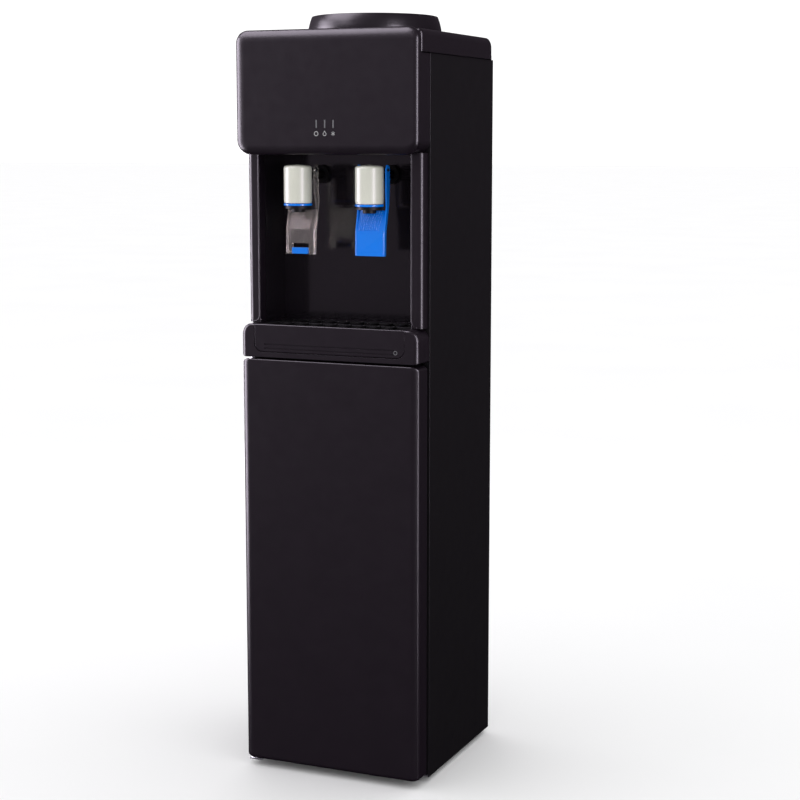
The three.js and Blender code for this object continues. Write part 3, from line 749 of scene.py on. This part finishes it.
def make_front_frame():
    """Pillars beside the recess, cheeks beside the fascia and the bars behind it."""
    low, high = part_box("front_frame")
    recess_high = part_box("recess_liner")[1]
    inner = recess_high.x - WALL
    pillar_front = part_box("side_panel_left")[0].y - 0.017
    bar_low = recess_high.z - WALL + 0.0015
    pillar_outer = 0.132
    cheek_inner = 0.118
    tight, wide, cheek_round = 0.0022, 0.0085, 0.017
    solids = []
    for side in (-1, 1):
        x = sorted((side * inner, side * pillar_outer))
        left, right = (tight, wide) if side > 0 else (wide, tight)
        corners = [(left, left), (right, right), (0, 0), (0, 0)]
        plan = rectangle(x, (pillar_front, high.y), corners, 10)
        solids.append(skin(inner_rings(plan, (low.z, bar_low + 0.001))))
        corners = [(0.001, 0.001)] * 4
        corners[1 if side > 0 else 0] = (cheek_round, cheek_round)
        x = sorted((side * cheek_inner, side * high.x))
        cheek = rectangle(x, (bar_low, high.z), corners)
        solids.append(skin(as_front(eased_rings(cheek, low.y, high.y, evenly(0.001), 3))))
    bar_half = cheek_inner + 0.0005
    for z in ((bar_low, bar_low + 0.012), (high.z - 0.013, high.z)):
        solids.append(block((-bar_half, bar_half), (low.y, high.y), z))
    make("front_pillars", merged(*solids), "front_frame", ease=0.0005)
    bead = 0.0012
    sunk = bead / 2
    lip = inner + bead
    curl = 0.009
    path = [(lip, bar_low)]
    for a, b in circle(curl, 32)[:9]:
        path.append((lip + curl - a, low.z + curl + sunk - b))
    for side, name in ((-1, "left"), (1, "right")):
        route = [(side * x, pillar_front + sunk, z) for x, z in path]
        PATHS.grow(f"recess_lip_{name}", route, {"Radius": bead, **SINGLE}, "front_frame", chain(route))


def make_top_cover():
    """The cover, drawn from its top down: its front is the outline's low side."""
    low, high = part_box("top_cover")
    corners = [(0.006, 0.006), (0.006, 0.006), (0.010, 0.0245), (0.010, 0.0245)]
    outline = rectangle((low.x, high.x), (low.y, high.y), corners, 12)
    beside = (0.0058, 0.009)
    soft = {"left": beside, "right": beside, "low": (0.004, 0.004), "high": (0.024, 0.022)}
    rings = eased_rings(outline, high.z, low.z, soft, 12)
    skirt_wall = 0.0016
    rings += inner_rings(outline, (low.z, high.z - 0.014), skirt_wall)
    rings += inner_rings(outline, (high.z - 0.003,), 0.0055)
    well = middle("cold_tank")
    well_radius = 0.082
    opening = rod("z", well_radius, (low.z, high.z + 0.01), (well.x, well.y), 96)
    make("top_cover_shell", combined(skin(rings), opening), "top_cover", ease=0.0004)


# ---- drip tray ----
def tray_outline(spare):
    """The tray seen from the front; with something to spare it is the opening the tray slides in."""
    low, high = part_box("drip_tray")
    foot = (0.012 + spare, 0.012 + spare)
    top = (0.001, 0.001)
    across = (low.x - spare, high.x + spare)
    open_above = 0.02 if spare else 0
    return rectangle(across, (low.z - spare, high.z + open_above), [foot, foot, top, top], 10)


def make_tray_band():
    low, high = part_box("tray_housing")
    tray_low, tray_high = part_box("drip_tray")
    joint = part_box("side_panel_left")[0].y - 0.0005
    corners = [(0.0085, 0.003), (0.0085, 0.003), (0.016, 0.016), (0.016, 0.016)]
    outline = rectangle((low.x, high.x), (low.z, high.z), corners, 12)
    upright = (0.008, 0.008)
    soft = {"left": upright, "right": upright, "low": (0.001, 0.0014), "high": (0.003, 0.004)}
    front = skin(as_front(eased_rings(outline, low.y, joint, soft, 8)))
    rear_half = 0.1245
    rear = block((-rear_half, rear_half), (joint - 0.001, high.y), (low.z, high.z))
    levels = (low.y - 0.01, tray_high.y + GAP)
    cavity = skin(as_front(inner_rings(tray_outline(GAP), levels)))
    under_half = 0.108
    under_z = (low.z - 0.001, tray_low.z - WALL - GAP)
    under = block((-under_half, under_half), (low.y + 0.003, tray_high.y), under_z)
    pin = middle("upper_hinge_pin")
    bore = rod("z", PIN_BORE, (low.z - 0.001, low.z + 0.01), (pin.x, pin.y))
    whole = combined(front, rear, operation="UNION")
    make("tray_band", combined(whole, cavity, under, bore), "tray_housing", ease=0.0007)


def make_tray():
    low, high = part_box("drip_tray")
    rings = eased_rings(tray_outline(0), low.y, high.y, evenly(0.0012), 4)
    basin_y = (low.y + 0.0066, high.y - 0.006)
    basin = block((low.x + 0.006, high.x - 0.006), basin_y, (low.z + WALL, high.z + 0.001))
    ledge_y = (low.y + 0.0036, high.y - WALL)
    ledge = block((low.x + 0.0025, high.x - 0.0025), ledge_y, (high.z - 0.005, high.z + 0.001))
    grooves = []
    groove_half = 0.098
    round_end = 0.0009
    for z in (low.z + 0.0042, low.z + 0.0098):
        up = (z, z + 2 * round_end)
        groove = rectangle((-groove_half, groove_half), up, [(round_end, round_end)] * 4, 4)
        levels = (low.y - 0.001, low.y + 0.0012)
        grooves.append(skin(as_front(inner_rings(groove, levels))))
    body = combined(skin(as_front(rings)), basin, ledge, *grooves)
    make("drip_tray_body", body, "drip_tray", ease=0.0004)
    ring = ring_sign(high.x - 0.013, low.z + 0.0075, 0.0028, 0.002, low.y - PRINT_SKIN)
    # The tray's printed ring takes the glowing lamp finish: a painted glow.
    make("tray_sign", ring, body="drip_tray", slot="shell_black", finish=LAMP_AND_PAINTED_GLOW)
    eased_copy("drip_grille", 0.0006)
    grille_low, grille_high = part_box("drip_grille")
    rows = [grille_low.y + 0.005, middle("drip_grille").y, grille_high.y - 0.004]
    columns = 10
    pitch = 0.022
    across = [(column - (columns - 1) / 2) * pitch for column in range(columns)]
    studs = [(x, y, grille_high.z) for x in across for y in rows]
    values = {"Radius": 0.0026, "Flatness": (1.3, 1.0, 0.35)}
    STUDS.grow("drip_grille_studs", studs, values, "drip_grille")


# ---- taps ----
def make_tap(side):
    low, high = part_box(f"{side}_tap_sleeve")
    centre = middle(f"{side}_tap_sleeve")
    radius = (high.x - low.x) / 2
    bore = radius - 0.0034
    under_top = high.z - 0.003
    profile = [
        (bore, low.z, 0.0006),
        (radius - 0.0006, low.z, 0.0008),
        (radius, low.z + 0.004, 0.002),
        (radius, high.z - 0.0016, 0.004),
        (0.001, high.z, 0),
        (0.001, under_top, 0),
        (bore, under_top, 0.001),
    ]
    sleeve = turned(profile, centre, True)
    slot_half = 0.0086
    slot_x = (centre.x - slot_half, centre.x + slot_half)
    slot = block(slot_x, (centre.y + 0.005, centre.y + 0.03), (low.z - 0.001, high.z - 0.006))
    pin = (centre.y + 0.013, high.z - 0.007)
    pin_hole = rod("x", 0.0024, (low.x, high.x), pin)
    make(f"{side}_sleeve", combined(sleeve, slot, pin_hole), f"{side}_tap_sleeve")
    ring_low, ring_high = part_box(f"{side}_tap_ring")
    outer = (ring_high.x - ring_low.x) / 2
    inner = bore + GAP
    band = [
        (inner, ring_low.z, 0.0004),
        (outer, ring_low.z, 0.0007),
        (outer, ring_high.z, 0.0007),
        (inner, ring_high.z, 0.0004),
    ]
    make(f"{side}_ring", turned(band, centre, True), f"{side}_tap_ring")
    eased_copy(f"{side}_tap_body", 0.0004)
    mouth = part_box(f"{side}_tap_body")[0].z
    lip_z = (mouth - 0.0006, mouth + 0.004)
    inner, outer = 0.0062, 0.0088
    lip = [
        (inner, lip_z[0], 0.0004),
        (outer, lip_z[0], 0.0008),
        (outer, lip_z[1], 0),
        (inner, lip_z[1], 0),
    ]
    nozzle = turned(lip, centre, True, SMALL_ROUND_STEPS)
    make(f"{side}_nozzle_lip", nozzle, body="cabinet", slot="inner_black")


def make_lever(side, drop):
    """The lever's own shape, with fine ribs swept across the curved top of its paddle and a rim
    down each edge. Drop is how far its paddle stands behind the tap's axis."""
    eased_copy(f"{side}_lever", 0.0007, 3)
    low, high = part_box(f"{side}_lever")
    tap = middle(f"{side}_tap_sleeve")
    ribs = 10
    pitch = 0.0032
    sweep = 0.005
    start = (low.x + high.x - pitch * (ribs - 1) - sweep) / 2
    foot = tap.y + drop
    steps = 8
    points = []
    for step in range(steps + 1):
        t = step / steps
        points.append((start + sweep * t * t, foot + 0.0024 + 0.0091 * t, low.z + 0.0338 + 0.026 * t))
    values = {"Radius": 0.0006, "Count": ribs, "Pitch": (pitch, 0.0, 0.0)}
    PATHS.grow(f"{side}_lever_ribs", points, values, f"{side}_lever", chain(points))
    bead = 0.0011
    bends = [(0.0016, 0.0012), (0.0021, 0.031), (0.0122, 0.0605)]
    rim = [(low.x + bead, foot + back, low.z + up) for back, up in bends]
    values = {"Radius": bead, "Count": 2, "Pitch": (high.x - low.x - 2 * bead, 0.0, 0.0)}
    PATHS.grow(f"{side}_lever_rim", rim, values, f"{side}_lever", chain(rim))


# ---- bottle collar ----
def make_collar():
    centre = middle("cold_tank")
    low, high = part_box("bottle_collar")
    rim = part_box("top_cover")[1].z + GAP
    floor = low.z + 0.0025
    hole, throat = 0.0144, 0.0340
    profile = [
        (0.0940, rim, 0.0008),
        (0.0934, rim + 0.009, 0.003),
        (0.0908, rim + 0.0205, 0.006),
        (0.0880, high.z, 0.003),
        (0.0836, high.z, 0.0018),
        (0.0800, high.z - 0.008, 0.006),
        (0.0760, rim + 0.0095, 0.008),
        (0.0610, rim - 0.0045, 0.009),
        (0.0400, rim - 0.0184, 0.006),
        (throat, rim - 0.0284, 0.005),
        (throat, floor, 0.001),
        (hole, floor, 0.0006),
        (hole, low.z, 0.0006),
        (throat + WALL, low.z, 0.0008),
        (throat + WALL, rim - 0.0304, 0.004),
        (0.0420, rim - 0.0214, 0.005),
        (0.0640, rim - 0.0068, 0.008),
        (0.0796, rim, 0.001),
    ]
    make("collar_bowl", turned(profile, centre, True, 128), "bottle_collar")
    low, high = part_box("bottle_probe")
    flange_z = (floor + GAP, floor + 0.0030)
    stem, flange = 0.0120, 0.0190
    spike = [
        (0.0100, low.z, 0),
        (stem, low.z, 0.0004),
        (stem, flange_z[0], 0.0004),
        (flange, flange_z[0], 0.0006),
        (flange, flange_z[1], 0.0006),
        (stem, flange_z[1] + 0.0030, 0.001),
        (0.0110, high.z - 0.0310, 0.004),
        (0.0090, high.z - 0.0160, 0.004),
        (0.0050, high.z - 0.0060, 0.003),
        (0.0006, high.z, 0),
    ]
    make("probe_spike", turned(spike, centre, False, 48), "bottle_probe")


# ---- sides, rear and feet ----
def make_sides():
    """The sheet metal and the small rear mouldings, as the nodes have them but for eased edges."""
    under_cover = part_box("top_cover")[0].z - GAP
    for side in ("left", "right"):
        eased_copy(f"side_panel_{side}", 0.0006, top=under_cover)
    for node in ("rear_panel", "rear_grille", "switch_plate", "magnetic_catch"):
        eased_copy(node, 0.0003)
    for node in ("hot_switch", "cold_switch", "hot_safety_button"):
        eased_copy(node, 0.0006)


def make_case_lip():
    """The turned-in top edge of the case, behind the cover's skirt."""
    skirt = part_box("top_cover")[0].z
    panel_low, panel_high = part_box("side_panel_right")
    side = panel_high.x - SHEET - GAP
    front = panel_low.y + 2 * SHEET
    rear = panel_high.y - SHEET - GAP
    z = (skirt - 0.004, skirt + 0.006)
    left = block((-side, SHEET - side), (front, rear), z)
    right = block((side - SHEET, side), (front, rear), z)
    back = block((-side, side), (rear - SHEET, rear), z)
    lip = combined(left, right, back, operation="UNION")
    make("case_lip", lip, body="cabinet", slot="side_steel")


def add_screws(name, places, radius, node):
    values = {"Head Radius": radius, "Turn": TO_THE_REAR}
    SCREWS.grow(name, places, values, node, slot="plain_steel")


def make_rear_screws():
    panel_low, panel_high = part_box("rear_panel")
    grille_low, grille_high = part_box("rear_grille")
    back = panel_high.y + GAP / 2
    edge = panel_high.x - 0.006
    inset = 0.012
    heights = [panel_high.z - inset, 0.81, 0.62, 0.43, panel_low.z + inset]
    heights += [grille_high.z - inset, grille_low.z + inset]
    places = [(side * edge, back, z) for z in heights for side in (-1, 1)]
    add_screws("rear_screws", places, 0.0036, "rear_panel")
    frame_low, frame_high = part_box("condenser_frame")
    heights = (frame_low.z + 0.006, frame_high.z - 0.006)
    strap = 0.077
    places = [(side * strap, frame_high.y, z) for z in heights for side in (-1, 1)]
    add_screws("condenser_screws", places, 0.0034, "rear_panel")
    plate = middle("switch_plate")
    plate_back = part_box("switch_plate")[1].y
    rise = 0.0175
    places = [(plate.x, plate_back, plate.z + dz) for dz in (-rise, rise)]
    add_screws("switch_screws", places, 0.0026, "switch_plate")


def make_louvres():
    """A pressed hood over each slot of the lower rear grille."""
    low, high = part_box("rear_grille")
    first, pitch = low.z + 0.0902, 0.018
    column = 0.055
    rows = [first + pitch * row for row in range(8)]
    places = [(side * column, high.y, z) for z in rows for side in (-1, 1)]
    values = {"Radius": 0.0026, "Length": 0.088, "Flatness": (1.5, 1.0, 1.0), "Turn": ALONG_X}
    BARS.grow("rear_louvre_hoods", places, values, "rear_grille")


def make_condenser():
    """The serpentine tube and the wires welded across it."""
    low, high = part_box("condenser_coil")
    radius = 0.0025
    runs = 8
    pitch = (high.z - low.z - 2 * radius) / (runs - 1)
    centre = middle("condenser_coil")
    half = 0.092
    bend = 0.012
    bend_steps = 10
    route = []
    for run in range(runs):
        z = low.z + radius + run * pitch
        way = 1 if run % 2 == 0 else -1
        route += [(-way * half, centre.y, z), (way * half, centre.y, z)]
        if run == runs - 1:
            break
        for step in range(1, bend_steps):
            angle = -QUARTER + step / bend_steps * math.pi
            x = way * (half + bend * math.cos(angle))
            route.append((x, centre.y, z + pitch / 2 * (1 + math.sin(angle))))
    values = {"Radius": radius, **SINGLE}
    tube = PATHS.grow("condenser_tube", route, values, "condenser_coil", chain(route))
    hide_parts("condenser_coil")
    wire = 0.0007
    wire_pitch = 0.0075
    layers = (centre.y - radius - wire, centre.y + radius + wire)
    wires = [(x * wire_pitch, y, centre.z) for x in range(-11, 12) for y in layers]
    values = {"Radius": wire, "Length": high.z - low.z + 0.006, "Flatness": ROUND, "Turn": UNTURNED}
    BARS.grow("condenser_wires", wires, values, "condenser_coil")
    eased_copy("condenser_frame", 0.0003)


def make_feet():
    for node in [name for name in frame["nodes"] if name.startswith("foot_")]:
        low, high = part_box(node)
        profile = [
            (0.002, low.z, 0),
            (0.0118, low.z, 0.0012),
            (0.014, low.z + 0.0018, 0.001),
            (0.014, low.z + 0.006, 0.0008),
            (0.010, high.z, 0),
            (0.002, high.z, 0),
        ]
        make(f"{node}_pad", turned(profile, middle(node), False, SMALL_ROUND_STEPS), node)


def make_drain_cap():
    low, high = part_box("drain_cap")
    centre = middle("drain_cap")
    radius = 0.0116
    cap = [
        (0.009, high.y - 0.0035, 0),
        (0.009, low.y, 0.0004),
        (radius, low.y, 0.0008),
        (radius, high.y, 0.0014),
        (0.001, high.y, 0),
    ]
    make("drain_cap_body", turned_back(cap, centre.x, centre.z), "drain_cap")
    places = [(centre.x + a, centre.y, centre.z + b) for a, b in circle(radius, 18)]
    length = high.y - low.y - 0.004
    values = {"Radius": 0.0008, "Length": length, "Flatness": ROUND, "Turn": TO_THE_REAR}
    BARS.grow("drain_cap_ribs", places, values, "drain_cap")


def make_cord_gland():
    low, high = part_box("cord_gland")
    centre = middle("cord_gland")
    plate = high.y - 0.011
    profile = [
        (0.004, low.y, 0),
        (0.008, low.y, 0.0006),
        (0.008, plate - 0.003, 0),
        (0.012, plate - 0.003, 0.0006),
        (0.012, plate, 0.001),
        (0.0084, plate + 0.001, 0.0006),
        (0.0072, high.y, 0.0012),
        (0.004, high.y, 0.0006),
        (0.004, low.y + 0.002, 0),
    ]
    make("cord_gland_body", turned_back(profile, centre.x, centre.z), "cord_gland")


def coat_frame_nodes():
    """Every node that still shows takes the finish of its slot."""
    for name, node in frame["nodes"].items():
        if not node.hide_render:
            node.data.materials.clear()
            node.data.materials.append(FINISH[SLOT_OF[name]])


# ---- room, lights and camera ----
def make_room():
    """A pale floor, and a white room that glossy surfaces see as dim lavender, brighter overhead."""
    reach = 60.0
    bm = bmesh.new()
    corners = ((-1, -1), (1, -1), (1, 1), (-1, 1))
    bm.faces.new([bm.verts.new((x * reach, y * reach, 0)) for x, y in corners])
    floor = as_object("studio_floor", bm)
    paper = Finish("pale_paper", {"Specular IOR Level": 0.1})
    paper.colour(paper.cloud(0.6), (0.86, 0.86, 0.865), (0.9, 0.9, 0.905))
    paper.roughness(0.9)
    floor.data.materials.append(paper.material)
    floor.visible_glossy = False
    world = bpy.data.worlds.new("studio")
    bpy.context.scene.world = world
    world.use_nodes = True
    room = Nodes(world.node_tree)
    room.tree.nodes.clear()
    direction = room.node("ShaderNodeTexCoord").outputs["Generated"]
    way = room.node("ShaderNodeSeparateXYZ", (), {0: direction}).outputs
    scaled = {"operation": "MULTIPLY_ADD"}
    lift = room.node("ShaderNodeMath", scaled, {0: way[2], 1: 0.8, 2: 0.29})
    lift = room.node("ShaderNodeClamp", (), {"Value": lift.outputs[0], "Min": 0.01, "Max": 0.38})
    fade = room.node("ShaderNodeMath", scaled, {0: way[1], 1: -0.47, 2: 0.66})
    product = {"operation": "MULTIPLY"}
    dim = room.node("ShaderNodeMath", product, {0: lift.outputs[0], 1: fade.outputs[0]})
    tint = {"Color": (0.97, 0.8, 1.0, 1.0), "Strength": dim.outputs[0]}
    mirrored = room.node("ShaderNodeBackground", (), tint)
    white = room.node("ShaderNodeBackground", (), {"Color": (1.0, 1.0, 1.0, 1.0), "Strength": 1.16})
    shiny = room.node("ShaderNodeLightPath").outputs["Is Glossy Ray"]
    inputs = {0: shiny, 1: white.outputs[0], 2: mirrored.outputs[0]}
    surroundings = room.node("ShaderNodeMixShader", (), inputs)
    room.node("ShaderNodeOutputWorld", (), {"Surface": surroundings.outputs[0]})


def add_light(name, place, size, power):
    """A soft lavender light aimed at the object's middle, seen only in glossy surfaces."""
    target = Vector((0, 0, (CAD_BOX[0][2] + CAD_BOX[1][2]) / 2))
    data = bpy.data.lights.new(name, "AREA")
    data.shape = "RECTANGLE"
    data.size, data.size_y = size
    data.energy = power
    data.color = (0.95, 0.86, 1.0)
    light = bpy.data.objects.new(name, data)
    light.location = place
    light.rotation_mode = "QUATERNION"
    light.rotation_quaternion = (target - Vector(place)).to_track_quat("-Z", "Y")
    light.visible_camera = False
    light.visible_diffuse = False
    bpy.context.scene.collection.objects.link(light)


def light_room():
    add_light("top_box", (-1.1, -0.9, 2.6), (1.8, 1.6), 85)
    add_light("left_strip", (-2.2, -0.75, 0.8), (1.2, 2.2), 120)
    add_light("right_strip", (2.0, -1.2, 0.8), (0.6, 2.2), 75)
    add_light("rear_strip", (-1.5, 2.3, 0.5), (1.2, 0.9), 50)


def make_camera():
    data = bpy.data.cameras.new("camera")
    data.lens = 78.9
    data.sensor_width = 36.0
    camera = bpy.data.objects.new("camera", data)
    yaw, pitch = math.radians(23.48), math.radians(-8.41)
    camera.location = (1.034, -2.279, 0.889)
    level = math.cos(pitch)
    ahead = Vector((-math.sin(yaw) * level, math.cos(yaw) * level, math.sin(pitch)))
    camera.rotation_mode = "QUATERNION"
    camera.rotation_quaternion = ahead.to_track_quat("-Z", "Y")
    bpy.context.scene.collection.objects.link(camera)
    bpy.context.scene.camera = camera


make_camera()
make_room()
light_room()
make_door()
make_fascia()
make_lamps()
make_signs()
make_front_frame()
make_top_cover()
make_tray_band()
make_tray()
for side in ("hot", "cold"):
    make_tap(side)
make_lever("hot", 0.005)
make_lever("cold", 0.0)
make_collar()
make_sides()
make_case_lip()
make_rear_screws()
make_louvres()
make_condenser()
make_feet()
make_drain_cap()
make_cord_gland()
coat_frame_nodes()

bpy.context.scene.view_settings.view_transform = "Standard"
